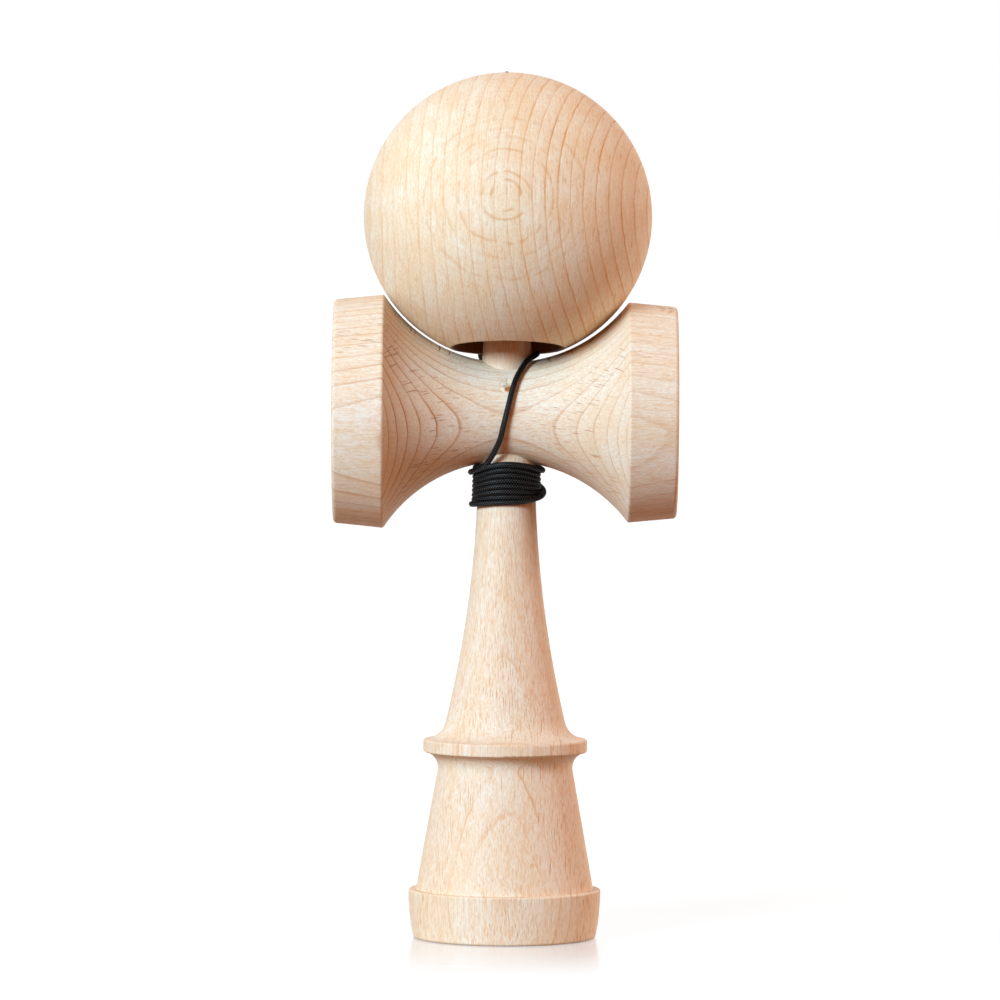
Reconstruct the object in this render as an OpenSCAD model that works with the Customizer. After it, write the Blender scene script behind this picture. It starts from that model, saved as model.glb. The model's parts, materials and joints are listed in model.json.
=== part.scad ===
// Cup and ball toy: a turned handle with a base cup and a spike, a cross-piece with two cups,
// and a drilled ball that sits on the spike and is tied on with a wound string.
// Millimetres, +Z up. The handle stands on its base cup with its axis on Z.
// The cross-piece lies along X, with the large cup on the -X side.

/* [Handle] */
// Height of the handle, from its foot to the tip of the spike
handle_h = 157; // [150:0.5:160]
// Largest diameter of the foot
foot_d = 40.1; // [38.5:0.1:44]
// Height of the foot's rim
foot_h = 10.2; // [6:0.1:14]
// Radius of the bulge of the foot's rim
foot_bulge_r = 50; // [40:1:90]
// Diameter of the skirt where it leaves the foot
skirt_d = 37; // [34:0.1:38]
// Diameter of the skirt under the collar ring
skirt_top_d = 28; // [26:0.1:30]
// Height of the collar ring's underside
ring_z = 38.9; // [34:0.1:44]
// Thickness of the collar ring
ring_h = 2.6; // [2:0.1:4]
// Diameter of the collar ring
ring_d = 34.2; // [33:0.1:37]
// Radius of the cove under the collar ring
cove_r = 3.3; // [2:0.1:4]
// Radius of the flare above the collar ring
flare_r = 4.7; // [3:0.1:6]
// Diameter of the neck's hollow at its narrowest, where its curve would stand upright
neck_d = 11.9; // [11:0.1:13]
// Height at which the neck's curve would stand upright
neck_z = 100; // [96:0.5:104]
// Radius of the neck's long curve
neck_curve_r = 235; // [200:1:280]
// Radius lost for each millimetre of height, from the neck to the foot of the spike
shaft_taper = 0.03; // [0.02:0.001:0.035]
// Diameter of the spike's rounded tip
tip_d = 5.2; // [4:0.1:6.5]
// Inside diameter of the base cup's lip
base_cup_d = 34; // [30:0.1:35]

/* [Cross-piece] */
// Height of the cross-piece's axis
cross_z = 109.8; // [108:0.1:112]
// Diameter of the waist
waist_d = 20.6; // [19:0.1:23]
// Reach of the large cup's rim from the handle's axis
large_reach = 36.1; // [34:0.1:40]
// Distance of the large cup's ridge from the handle's axis
large_ridge_x = 25.7; // [24:0.1:27]
// Diameter of the large cup's ridge
large_ridge_d = 48.6; // [47.5:0.1:52]
// Outside diameter of the large cup's rim
large_rim_d = 46.5; // [45:0.1:48]
// Inside diameter of the large cup's lip
large_cup_d = 41; // [36:0.1:42]
// Reach of the small cup's rim from the handle's axis
small_reach = 35.4; // [34:0.1:40]
// Distance of the small cup's ridge from the handle's axis
small_ridge_x = 25.3; // [24:0.1:27]
// Diameter of the small cup's ridge
small_ridge_d = 45.9; // [44.5:0.1:49]
// Outside diameter of the small cup's rim
small_rim_d = 44; // [42.5:0.1:45.5]
// Inside diameter of the small cup's lip
small_cup_d = 38.4; // [33:0.1:39]
// Radius to which all three cups are hollowed
cup_r = 31; // [30:0.1:36]

/* [Ball] */
// Diameter of the ball
ball_d = 60; // [58:0.1:61]
// Lean of the ball towards the back, in degrees
ball_lean = 8.5; // [0:0.5:10]
// Diameter of the hole for the spike
hole_d = 22.8; // [20:0.1:24]
// Angle of the cone that ends the hole
hole_cone = 118; // [110:1:125]

/* [Stop bead] */
// Diameter of the bead inside the ball
bead_d = 8; // [7:0.1:9]
// Diameter of the hole through the bead
bead_hole_d = 2.2; // [2:0.1:2.6]
// Diameter of the knot under the bead
bead_knot_d = 3.2; // [2.8:0.1:4]
// Length of the knot under the bead
bead_knot_h = 2.6; // [2:0.1:3]

/* [String] */
// Diameter of the string
string_d = 1.2; // [1:0.05:1.4]
// Diameter of the string holes in the cross-piece and the ball
string_hole_d = 3; // [2.4:0.1:3.4]
// Diameter of the mouth of the ball's string hole
mouth_d = 6; // [4.4:0.1:6.4]
// Height of the string holes above the cross-piece's axis
string_hole_z = 5.6; // [4.5:0.1:6]
// Diameter of the cross hole in the handle
cross_hole_d = 4.4; // [4.2:0.1:5]
// Length of the knot in the cross hole
anchor_knot_h = 4; // [3:0.1:5]
// Drop from the underside of the waist to the winding's first turn
winding_drop = 1.4; // [1.3:0.1:2]
// Whole turns of the winding, besides the last part of a turn
winding_turns = 7; // [5:1:7]
// Height from one turn of the winding to the next
winding_pitch = 1.15; // [1.13:0.01:1.2]
// Rise of each turn at the front and the back, where the cross-piece leaves it room
winding_arch = 0.65; // [0:0.05:0.7]
// Thickness of the string in the winding, drawn thin enough for the turns to stay apart
wound_d = 0.7; // [0.6:0.01:0.72]

/* [Edges and clearances] */
// Rounding of the foot's lower edge
foot_edge_r = 0.7; // [0.3:0.1:0.8]
// Rounding of the foot's upper edge and of the collar ring
trim_edge_r = 0.4; // [0.2:0.1:0.6]
// Rounding of the cups' ridges
ridge_edge_r = 0.7; // [0.3:0.1:1]
// Rounding of the cups' outer rims
rim_edge_r = 0.9; // [0.3:0.1:1]
// Rounding of the lips of the three cups and of the ball's hole
lip_edge_r = 0.4; // [0.2:0.1:0.5]
// Gap between the handle and the hole of the cross-piece
fit_gap = 0.05; // [0.02:0.01:0.1]
// Least gap between the ball and the cross-piece, and between the ball and the bead
ball_gap = 0.35; // [0.3:0.05:0.6]
// Gap between the string at its full thickness and the neck that it is wound on
wrap_gap = 0.1; // [0.05:0.05:0.2]
// Gap between the tip of the spike and the knot under the bead
tip_gap = 3.2; // [2:0.1:4]
// Gap between the anchor knot and the wall of the cross hole
knot_room = 0.3; // [0.2:0.05:0.4]
// Gap between a knot and what it bears on
knot_gap = 0.1; // [0.05:0.05:0.2]

/* [Hidden] */
$fn = 96;
long_curve_fn = 720;

function unit(v) = v / norm(v);

// Handle: places worked out from the sizes above
bulge = [foot_d / 2 - foot_bulge_r, foot_h];
foot_bottom_r = bulge.x + sqrt(pow(foot_bulge_r, 2) - pow(foot_h, 2));
skirt_lean = atan2((skirt_d - skirt_top_d) / 2, ring_z - cove_r - foot_h);
cove = [skirt_top_d / 2 + cove_r / cos(skirt_lean), ring_z - cove_r];
cove_low = cove - cove_r * [cos(skirt_lean), sin(skirt_lean)];
ring_top = ring_z + ring_h;
flare_z = ring_top + flare_r;
neck_x = neck_d / 2 + neck_curve_r;
flare = [neck_x - sqrt(pow(neck_curve_r - flare_r, 2) - pow(neck_z - flare_z, 2)), flare_z];
flare_end = flare + unit(flare - [neck_x, neck_z]) * flare_r;
taper_lean = atan(shaft_taper);
taper_z = neck_z - neck_curve_r * sin(taper_lean);
taper_r = neck_x - neck_curve_r * cos(taper_lean);
spike_z = cross_z + waist_d / 2 + string_d;
function neck_r(z) = neck_x - sqrt(pow(neck_curve_r, 2) - pow(neck_z - z, 2));
function shaft_r(z) = z < taper_z ? neck_r(z) : taper_r - shaft_taper * (z - taper_z);

// Cross-piece: the radius of the saddle that runs from the waist to a ridge
function saddle_r(ridge_x, ridge_d) =
    let (rise = (ridge_d - waist_d) / 2) (pow(ridge_x, 2) + pow(rise, 2)) / (2 * rise);
large_saddle_r = saddle_r(large_ridge_x, large_ridge_d);
small_saddle_r = saddle_r(small_ridge_x, small_ridge_d);
anchor_z = cross_z + string_hole_z;

// Ball: its centre lies so high above the cross-piece's axis that both saddles stay clear of it
ball_r = ball_d / 2;
function seat_height(saddle, ridge_x) =
    let (spare = saddle - ball_r - ball_gap)
    let (side = spare > 0 ? asin(hole_d / ball_d) : asin(ridge_x / saddle))
    waist_d / 2 + saddle - spare / cos(side);
large_seat = seat_height(large_saddle_r, large_ridge_x);
small_seat = seat_height(small_saddle_r, small_ridge_x);
ball_z = cross_z + max(large_seat, small_seat);
function on_ball_axis(s) = [0, s * sin(ball_lean), ball_z + s * cos(ball_lean)];
mouth_s = -sqrt(pow(ball_r, 2) - pow(hole_d / 2, 2));

// Along the ball's axis, from its centre: tip of the spike, knot, bead and the end of the hole above it
tip_s = (handle_h - ball_z) * cos(ball_lean);
bead_knot_s = tip_s + tip_gap + bead_knot_h;
bead_s = bead_knot_s + knot_gap + sqrt(pow(bead_d / 2, 2) - pow(bead_hole_d / 2, 2));
cone_end_s = bead_s + (bead_d / 2 + ball_gap) / sin(hole_cone / 2);
wall_end_s = cone_end_s - hole_d / 2 / tan(hole_cone / 2);

// Anchor knot: it lies in the cross hole, and its end bears on the cross-piece round the string hole
anchor_knot_d = cross_hole_d - 2 * knot_room;
anchor_y = sqrt(pow(shaft_r(anchor_z), 2) - pow(anchor_knot_d / 2, 2)) - knot_gap;

// Winding: it starts at the left and runs down clockwise, seen from above
ring_steps = 24;
winding_sides = 6;
string_sides = 8;
winding_z = cross_z - waist_d / 2 - winding_drop;
winding_start = 205;
winding_part = 120;
winding_steps = ring_steps * (winding_turns + winding_part / 360);
winding_chord = cos(180 / ring_steps);
function wind_at(k) =
    let (a = winding_start - 360 * k / ring_steps)
    let (z = winding_z - winding_pitch * k / ring_steps + winding_arch * pow(sin(a), 2))
    let (r = (shaft_r(z) + wrap_gap + string_d / 2) / winding_chord)
    [r * cos(a), r * sin(a), z];
wind_in = unit(wind_at(1) - wind_at(0));
wind_out = unit(wind_at(winding_steps) - wind_at(winding_steps - 1));
wind_head = wind_at(0) - wind_in * wound_d;
wind_tail = wind_at(winding_steps) + wind_out * wound_d;
winding_path = concat([wind_head], [for (k = [0:winding_steps]) wind_at(k)], [wind_tail]);
self_gap = min([
    for (i = [0:winding_steps]) for (j = [i + ring_steps / 2:1:winding_steps])
        norm(wind_at(i) - wind_at(j))
]) - wound_d;
echo(least_gap_in_winding = self_gap);

// String: the route's own points, each stretch joined to the next end to end
lead_join = string_d * 2;
tail_path = concat([
    [0, anchor_y, anchor_z],
    [0, 8, anchor_z],
    [0, 9.9, 115.1],
    [0, 11, 113.4],
    [0, 11.4, 111],
    [0, 11.3, 108.5],
    [0, 10.5, 105.6],
    [0.2, 9.6, 103.2],
    [0.5, 9.1, 101],
    [0.9, 9, 98.5],
    [1.7, 9, 96],
    [2.9, 8.9, 93.8],
    [4.2, 8.4, 91.9],
    [4.7, 7.6, 90.5],
    [4.1, 7.1, 89.9]
], [wind_tail + wind_out * string_d, wind_tail]);
lead_path = concat([wind_head, wind_head - wind_in * lead_join], [
    [-3.5, -7.1, 100.1],
    [-2.4, -8.5, 102.1],
    [-1.4, -9.9, 104.4],
    [-0.8, -10.9, 106.9],
    [-0.2, -11.3, 109.4],
    [0.4, -11.2, 111.9],
    [1, -10.4, 114.4],
    [1.8, -9, 116.8],
    [2.9, -7.1, 118.9],
    [4.2, -4.7, 120.6],
    [5.7, -2.5, 121.6],
    [6.2, 0.2, 122],
    [6, 2.6, 121.7],
    [4.5, 4.8, 121],
    [2.8, 6, 120.6],
    [1.2, 6.2, 120.5],
    [-0.4, 6.2, 120.5]
]);
riser_path = concat([
    [-0.4, 6.2, 120.5],
    [-2, 6.2, 120.5],
    [-3.6, 6.6, 120.4],
    [-4.9, 7.8, 120.4],
    [-5.5, 9.9, 121.1],
    [-5.6, 13, 122.8],
    [-5.4, 16.3, 124.6],
    [-5.2, 19.8, 127.1],
    [-4.8, 23.6, 130.8],
    [-4.4, 26.8, 135.2],
    [-4, 29.1, 140.1],
    [-3.5, 30.5, 145.3],
    [-3, 31.1, 150.6],
    [-2.6, 30.6, 156],
    [-2.2, 29.3, 161.2],
    [-1.8, 27, 166.2],
    [-1.4, 23.9, 170.3],
    [-1, 20.1, 174.1],
    [-0.6, 15.7, 177.2],
    [-0.3, 11.8, 179.1],
    [-0.1, 9.4, 180],
    [0, 7.6, 180.5],
    [0, 6.2, 180.4],
    [0, 5.2, 179.8],
    [0, 4.5, 178.8]
], [for (s = [26, 23, 20, 16]) on_ball_axis(s)], [on_ball_axis(bead_knot_s)]);

// Cuts the outer side of a profile's corner away, down to an arc of radius r about c
module corner_cut(c, r, end_a, corner, end_b) {
    difference() {
        polygon([end_a, 2 * corner - c, end_b]);
        translate(c) circle(r);
    }
}

// Rounds the corner between the straight edges that run from it towards a and b
module round_corner(corner, a, b, r) {
    u = unit(a - corner);
    v = unit(b - corner);
    half = acos(u * v) / 2;
    run = r / tan(half);
    c = corner + unit(u + v) * r / sin(half);
    corner_cut(c, r, corner + u * run, corner, corner + v * run);
}

// Rounds the corner between a straight edge and an arc of radius arc_r about arc_c.
// The edge leaves the corner along u, the wood lies on its side n,
// and the arc is a hollow in the wood if side is 1, or a bulge of it if side is -1.
module round_lip(corner, u, n, arc_c, arc_r, side, r) {
    start = corner + n * r - arc_c;
    lead = start * u;
    run = side * sqrt(pow(lead, 2) - start * start + pow(arc_r + side * r, 2)) - lead;
    c = corner + n * r + u * run;
    corner_cut(c, r, corner + u * run, corner, arc_c + unit(c - arc_c) * arc_r);
}

// Hollow of a cup whose lip lies at the origin and opens towards -Y, as a profile
module cup_hollow(cup_d) {
    centre = [0, -sqrt(pow(cup_r, 2) - pow(cup_d / 2, 2))];
    translate(centre) circle(cup_r);
    round_lip([cup_d / 2, 0], [1, 0], [0, 1], centre, cup_r, 1, lip_edge_r);
}

// Outside of the handle before its curves are cut: foot, skirt, collar ring, neck, shaft and spike
module handle_blank() {
    tip_z = handle_h - tip_d / 2;
    intersection() {
        square([foot_d / 2, foot_h]);
        translate(bulge) circle(foot_bulge_r);
    }
    polygon([
        [0, foot_h / 2],
        [skirt_d / 2, foot_h / 2],
        [skirt_d / 2, foot_h],
        cove_low,
        [ring_d / 2, cove_low.y],
        [ring_d / 2, flare_end.y],
        flare_end,
        [flare_end.x, taper_z],
        [taper_r, taper_z],
        [shaft_r(spike_z), spike_z],
        [tip_d / 2, tip_z],
        [0, tip_z]
    ]);
    intersection() {
        translate([0, tip_z]) circle(d = tip_d);
        translate([0, spike_z]) square([tip_d, handle_h]);
    }
}

// Cove under the ring, flare above it, long curve of the neck, base cup and rounded edges
module handle_cuts() {
    translate(cove) circle(cove_r);
    translate(flare) circle(flare_r);
    intersection() {
        translate([neck_x, neck_z]) circle(neck_curve_r, $fn = long_curve_fn);
        translate([0, flare_end.y]) square([foot_d, neck_z - flare_end.y]);
    }
    cup_hollow(base_cup_d);
    round_lip([foot_bottom_r, 0], [-1, 0], [0, 1], bulge, foot_bulge_r, -1, foot_edge_r);
    round_lip([foot_d / 2, foot_h], [-1, 0], [0, -1], bulge, foot_bulge_r, -1, trim_edge_r);
    round_lip([ring_d / 2, ring_z], [0, 1], [-1, 0], cove, cove_r, 1, trim_edge_r);
    round_lip([ring_d / 2, ring_top], [0, -1], [-1, 0], flare, flare_r, 1, trim_edge_r);
}

// Drill for the string, from front to back above the cross-piece's axis
module string_drill(d) {
    translate([0, 0, anchor_z]) rotate([90, 0, 0]) cylinder(h = 2 * waist_d, d = d, center = true);
}

module handle() {
    color("burlywood") difference() {
        rotate_extrude() difference() {
            handle_blank();
            handle_cuts();
        }
        string_drill(cross_hole_d);
    }
}

// What the lathe takes away on one side of the cross-piece, as a profile with the cup towards +Y
module cup_cuts(reach, ridge_x, ridge_d, rim_d, cup_d) {
    saddle = saddle_r(ridge_x, ridge_d);
    centre = [waist_d / 2 + saddle, 0];
    ridge = [ridge_d / 2, ridge_x];
    rim = [rim_d / 2, reach];
    band = unit(rim - ridge);
    intersection() {
        translate(centre) circle(saddle);
        square([centre.x, saddle]);
    }
    round_lip(ridge, band, [-band.y, band.x], centre, saddle, 1, ridge_edge_r);
    round_corner(rim, ridge, [0, reach], rim_edge_r);
    translate([0, reach]) mirror([0, 1]) cup_hollow(cup_d);
}

module cup_crosspiece() {
    bore_high = cross_z + waist_d;
    color("wheat") difference() {
        translate([0, 0, cross_z]) rotate([0, 90, 0]) rotate_extrude() difference() {
            polygon([
                [0, -large_reach],
                [large_rim_d / 2, -large_reach],
                [large_ridge_d / 2, -large_ridge_x],
                [small_ridge_d / 2, small_ridge_x],
                [small_rim_d / 2, small_reach],
                [0, small_reach]
            ]);
            cup_cuts(small_reach, small_ridge_x, small_ridge_d, small_rim_d, small_cup_d);
            mirror([0, 1]) cup_cuts(large_reach, large_ridge_x, large_ridge_d, large_rim_d, large_cup_d);
        }
        translate([0, 0, taper_z])
            cylinder(h = bore_high - taper_z, r1 = taper_r + fit_gap,
                r2 = taper_r + fit_gap - shaft_taper * (bore_high - taper_z));
        string_drill(string_hole_d);
    }
}

// Places what lies on the ball's own axis, with its centre at the origin
module on_ball() {
    translate([0, 0, ball_z]) rotate([-ball_lean, 0, 0]) children();
}

module ball() {
    string_r = string_hole_d / 2;
    mouth_end_s = sqrt(pow(ball_r, 2) - pow(mouth_d / 2, 2));
    color("moccasin") on_ball() rotate_extrude() difference() {
        intersection() {
            circle(ball_r);
            translate([0, -ball_r]) square([ball_r, ball_d]);
        }
        polygon([
            [0, -ball_d],
            [hole_d / 2, -ball_d],
            [hole_d / 2, wall_end_s],
            [string_r, cone_end_s - string_r / tan(hole_cone / 2)],
            [string_r, mouth_end_s + string_r - mouth_d / 2],
            [mouth_d / 2, mouth_end_s],
            [mouth_d / 2, ball_d],
            [0, ball_d]
        ]);
        round_lip([hole_d / 2, mouth_s], [0, 1], [1, 0], [0, 0], ball_r, -1, lip_edge_r);
    }
}

module stop_bead() {
    color("tan") on_ball() translate([0, 0, bead_s]) difference() {
        sphere(d = bead_d);
        cylinder(h = 2 * bead_d, d = bead_hole_d, center = true);
    }
}

// Knot drawn tight into a barrel, standing on the origin
module knot(d, h) {
    edge_r = min(d, h) / 4;
    color("dimgray") rotate_extrude() difference() {
        square([d / 2, h]);
        round_corner([d / 2, 0], [0, 0], [d / 2, h], edge_r);
        round_corner([d / 2, h], [0, h], [d / 2, 0], edge_r);
    }
}

module bead_knot() {
    on_ball() translate([0, 0, bead_knot_s - bead_knot_h]) knot(bead_knot_d, bead_knot_h);
}

module anchor_knot() {
    translate([0, anchor_y, anchor_z]) rotate([90, 0, 0]) knot(anchor_knot_d, anchor_knot_h);
}

// Direction of a path at each of its points
function headings(path) = [
    for (i = [0:len(path) - 1])
        let (next = i < len(path) - 1 ? unit(path[i + 1] - path[i]) : [0, 0, 0])
        let (last = i > 0 ? unit(path[i] - path[i - 1]) : [0, 0, 0])
        unit(next + last)
];

// A side direction carried along those headings without twisting
function carried(heads, side, i = 0) =
    i == len(heads) ? [] :
    let (here = unit(side - heads[i] * (side * heads[i])))
    concat([here], carried(heads, here, i + 1));

// String of diameter d along a path, as one closed tube
module string_tube(path, d, sides) {
    heads = headings(path);
    first_side = cross(heads[0], abs(heads[0].z) < 0.9 ? [0, 0, 1] : [1, 0, 0]);
    ribs = carried(heads, first_side);
    last = len(path) - 1;
    points = [
        for (i = [0:last]) for (k = [0:sides - 1])
            let (a = 360 * k / sides)
            path[i] + (cos(a) * ribs[i] + sin(a) * cross(heads[i], ribs[i])) * d / 2
    ];
    walls = [
        for (i = [0:last - 1]) for (k = [0:sides - 1])
            let (a = i * sides + k, b = i * sides + (k + 1) % sides)
            each [[a, a + sides, b + sides], [a, b + sides, b]]
    ];
    ends = [
        for (k = [1:sides - 2])
            each [[0, k, k + 1], [last * sides, last * sides + k + 1, last * sides + k]]
    ];
    color("black") polyhedron(points, concat(walls, ends));
}

module string_anchor_tail() {
    string_tube(tail_path, string_d, string_sides);
}

module string_winding() {
    string_tube(winding_path, wound_d, winding_sides);
}

module string_lead() {
    string_tube(lead_path, string_d, string_sides);
}

module string_riser() {
    string_tube(riser_path, string_d, string_sides);
}

handle();
cup_crosspiece();
ball();
stop_bead();
bead_knot();
anchor_knot();
string_anchor_tail();
string_winding();
string_lead();
string_riser();
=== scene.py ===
# %% [markdown]
# # Dressing a cup and ball toy
# The toy is turned from three pieces of beech: a handle with a spike, a cross-piece with a cup at either
# end, and a ball with a hole in it. A thin black braided string ties the ball on, and what is spare is
# wound round the neck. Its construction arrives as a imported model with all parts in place, in metres,
# with +Z up. This lesson adds what a construction model lacks: grain in the wood, braid in the string,
# knots, torn fibres, light and a camera.

# %% Load the frame
import json
import math

import bpy
import numpy as np
from mathutils import Matrix, Vector


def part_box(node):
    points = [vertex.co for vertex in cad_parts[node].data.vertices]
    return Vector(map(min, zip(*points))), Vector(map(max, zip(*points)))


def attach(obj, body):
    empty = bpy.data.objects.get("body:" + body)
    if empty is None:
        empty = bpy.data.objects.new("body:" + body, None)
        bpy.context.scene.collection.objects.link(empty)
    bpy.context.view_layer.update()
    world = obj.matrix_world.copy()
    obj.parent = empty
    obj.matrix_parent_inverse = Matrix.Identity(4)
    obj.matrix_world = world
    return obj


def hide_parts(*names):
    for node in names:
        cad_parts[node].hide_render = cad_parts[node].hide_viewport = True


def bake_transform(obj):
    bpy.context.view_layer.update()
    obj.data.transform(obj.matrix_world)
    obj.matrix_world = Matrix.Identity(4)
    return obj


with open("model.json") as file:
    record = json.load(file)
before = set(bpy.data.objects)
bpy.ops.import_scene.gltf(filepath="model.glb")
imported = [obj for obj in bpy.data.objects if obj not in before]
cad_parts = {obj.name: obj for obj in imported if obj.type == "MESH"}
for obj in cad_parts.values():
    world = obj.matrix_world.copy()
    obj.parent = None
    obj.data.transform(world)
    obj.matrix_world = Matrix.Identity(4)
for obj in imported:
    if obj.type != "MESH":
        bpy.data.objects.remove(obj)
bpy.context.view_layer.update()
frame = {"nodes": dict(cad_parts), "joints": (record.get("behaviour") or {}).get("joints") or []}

nodes = frame["nodes"]
print("pieces in the frame:", sorted(nodes))

# %% [markdown]
# ## Camera
# The picture is a catalogue shot: a long lens some way off, a little above the middle of the toy and
# tipped down, so that upright edges stay almost parallel. A long lens is chosen here too, because a short
# one close by would show the undersides of the cups and the top of the foot at the wrong slant. The
# numbers are a distance, a height and three small angles, so each can be corrected by itself.

# %% Place the camera
MM = 0.001
camera_distance = 1466 * MM
camera_height = 152 * MM
camera_pitch = math.radians(2.366)
camera_turn = math.radians(0.053)
camera_roll = math.radians(0.3)

camera_data = bpy.data.cameras.new("catalogue_camera")
camera_data.sensor_width = 36
camera_data.lens = 253.4
camera = bpy.data.objects.new("catalogue_camera", camera_data)
bpy.context.scene.collection.objects.link(camera)
camera.matrix_world = (
    Matrix.Translation((0, -camera_distance, camera_height))
    @ Matrix.Rotation(camera_turn, 4, "Z")
    @ Matrix.Rotation(math.pi / 2 - camera_pitch, 4, "X")
    @ Matrix.Rotation(camera_roll, 4, "Z")
)
bpy.context.scene.camera = camera
bpy.context.scene.view_settings.view_transform = "Standard"
print("the lens sees", round(math.degrees(camera_data.angle), 2), "degrees")

# %% [markdown]
# ## The string's route
# One string ties the toy together. It starts at a knot inside the handle, comes out of the back of the
# cross-piece, runs down to the neck, is wound round it, climbs the front of the waist, passes behind the
# spike and over the back of the ball, and goes down through the ball's top hole to a bead. A rope could
# be hung with a simulation, but here each stretch lies on wood or is drawn tight, so the route is a list
# of given points, in millimetres, and a loop works out the turns.

# %% Points of the free stretches
anchor_point = (0, 4.94, 115.4)
tail_points = [
    anchor_point, (0, 7.4, 115.4), (0, 9.1, 115.4), (0, 10.35, 115.12), (0, 11.3, 114.3), (0, 11.8, 113.05),
    (0, 11.85, 111.5), (0, 11.35, 108.6), (0, 10.5, 105.6), (0.1, 9.7, 103.2), (0.3, 9.3, 101),
    (0.5, 9.25, 98.5), (0.6, 9.25, 96.2), (0.5, 9.1, 94.2), (0, 8.75, 92.5), (-1, 8.2, 91.3),
    (-2.4, 7.3, 90.7),
]
lead_points = [
    (-4.8, -5.65, 98.7), (-3.5, -7.1, 100.1), (-2.4, -8.5, 102.1), (-1.4, -9.9, 104.4), (-0.8, -10.9, 106.9),
    (-0.2, -11.3, 109.4), (0.4, -11.2, 111.9), (1, -10.4, 114.4), (1.8, -9, 116.8), (2.9, -7.1, 118.9),
    (4.2, -4.7, 120.6), (5.7, -2.5, 121.6), (6.2, 0.2, 122), (6, 2.6, 121.7), (4.5, 4.8, 121),
    (2.8, 6, 120.6), (1.2, 6.2, 120.5), (-0.4, 6.2, 120.5),
]
riser_points = [
    (-2, 6.2, 120.5), (-3.6, 6.6, 120.4), (-4.9, 7.8, 120.4), (-5.5, 9.9, 121.1), (-5.6, 13, 122.8),
    (-5.4, 16.3, 124.6), (-5.2, 19.8, 127.1), (-4.8, 23.6, 130.8), (-4.4, 26.8, 135.2), (-4, 29.1, 140.1),
    (-3.5, 30.5, 145.3), (-3, 31.1, 150.6), (-2.6, 30.6, 156), (-2.2, 29.3, 161.2), (-1.8, 27, 166.2),
    (-1.4, 23.9, 170.3), (-1, 20.1, 174.1), (-0.7, 15.7, 177.2), (-0.55, 11.8, 179), (-0.5, 9.4, 179.65),
    (-0.45, 7.8, 180.03), (-0.4, 6.5, 180.15), (-0.2, 5.3, 179.72), (0, 4.4, 178.75),
]
spin = [joint for joint in frame["joints"] if joint["name"] == "ball_spin"][0]
ball_centre = np.array(spin["pos_m"]) / MM
ball_axis = np.array(spin["axis"])
bead_knot_height = 12.3
hole_points = [tuple(ball_centre + ball_axis * height) for height in (26, 23, 20, 16, bead_knot_height)]
print("hand-set points:", len(tail_points) + len(lead_points) + len(riser_points))

# %% [markdown]
# ## Winding the spare string
# About two thirds of the string is wound on the neck, eight times round, just under the cross-piece. A
# plain helix would look machine-made, and real turns have four habits. They arch a little at the front
# and back, where the cross-piece leaves them room. The top turn stands loose. One low turn climbs over
# the others at the back and comes down across them at the right. The bottom one ends slack. So the loop
# starts from a helix on the measured neck and adds each habit as a soft step up and down.

# %% Work out the turns
string_d = 1.24
wind_turns = 8 + 2 / 9
wind_start = math.radians(205)
steps_per_turn = 36
side_top, side_drop = 98.24, 0.95
front_top, front_drop = 100.03, 1.13
climb_height, climb_out = 4, 1.05
top_slack, end_slack = 0.95, 0.5

shaft = np.array([v.co for v in nodes["handle"].data.vertices]) / MM
shaft = shaft[(shaft[:, 2] > 80) & (shaft[:, 2] < 104)]
shaft = shaft[np.argsort(shaft[:, 2])]
shaft_radius = np.hypot(shaft[:, 0], shaft[:, 1])


def soft_step(low, high, x):
    """0 below low, 1 above high, and a smooth rise between them."""
    t = np.clip((x - low) / (high - low), 0, 1)
    return t * t * (3 - 2 * t)


turn = np.linspace(0, wind_turns, round(wind_turns * steps_per_turn) + 1)
angle = wind_start - 2 * math.pi * turn
at_the_sides = side_top - side_drop * turn
at_front_and_back = front_top - front_drop * turn
# Each habit comes and goes between two turn numbers, counted from the top.
top_loose = soft_step(0.3, 0.5, turn) - soft_step(1.1, 1.4, turn)
climb = soft_step(7.1, 7.32, turn) - soft_step(7.36, 7.8, turn)
climb_layer = soft_step(7.08, 7.2, turn) - soft_step(7.62, 7.8, turn)
end_loose = soft_step(7.85, 8, turn) - soft_step(8.12, 8.3, turn)
wind_z = at_the_sides + (at_front_and_back - at_the_sides) * np.sin(angle) ** 2 + climb_height * climb
wind_r = np.interp(wind_z, shaft[:, 2], shaft_radius) + string_d / 2
wind_r += top_slack * top_loose + climb_out * climb_layer + end_slack * end_loose
wind_points = np.column_stack([wind_r * np.cos(angle), wind_r * np.sin(angle), wind_z])
string_points = np.array([*tail_points, *wind_points[::-1], *lead_points, *riser_points, *hole_points])
print("turns lie between", round(wind_z.min(), 1), "and", round(wind_z.max(), 1), "mm above the table")

# %% [markdown]
# ## Following the route
# A list of points has corners, and a braid would show each corner and each change of pace. A curve object
# could smooth it, but it gives no even steps to count yarns by. So a smooth curve is laid through all of
# the points, cut into equal steps, and given a side direction that does not twist on the way.

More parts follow.
